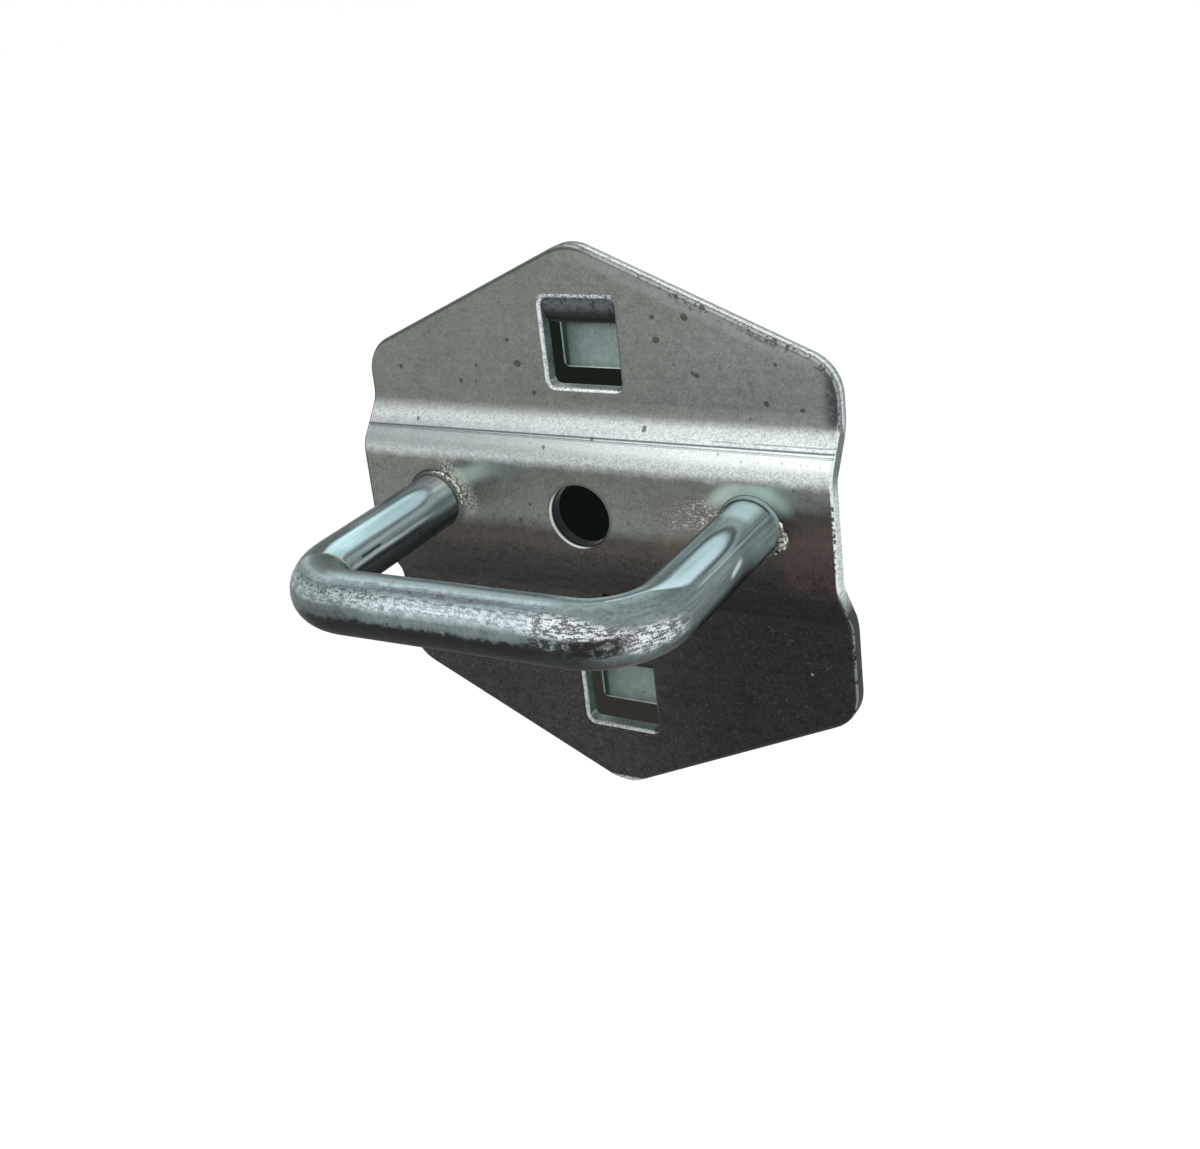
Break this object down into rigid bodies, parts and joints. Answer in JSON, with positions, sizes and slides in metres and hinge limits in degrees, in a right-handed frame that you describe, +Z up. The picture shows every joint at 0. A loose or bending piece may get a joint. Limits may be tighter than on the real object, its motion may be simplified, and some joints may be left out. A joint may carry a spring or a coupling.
{
  "type": "pegboard hook",
  "caption": "Zinc plated hook for a square-hole tool wall: a pointed plate with a raised band and lanced wall hooks, and a bent rod loop welded to its front.",
  "frame": {"origin": "on the plate's rear plane, on the centreline, midway between the two lanced hooks, as the part hangs on its wall sheet", "axes": "+Z up, -Y out of the wall towards the rod loop, +X to the right seen from in front"},
  "size_m": [0.0538, 0.0346, 0.0598],
  "materials": {
    "zinc_sheet": "worn bright zinc on stamped sheet",
    "zinc_rod": "scuffed bright zinc on drawn rod"
  },
  "bodies": {
    "root": {"back_plate": "zinc_sheet", "rod_loop": "zinc_rod"}
  },
  "joints": []
}
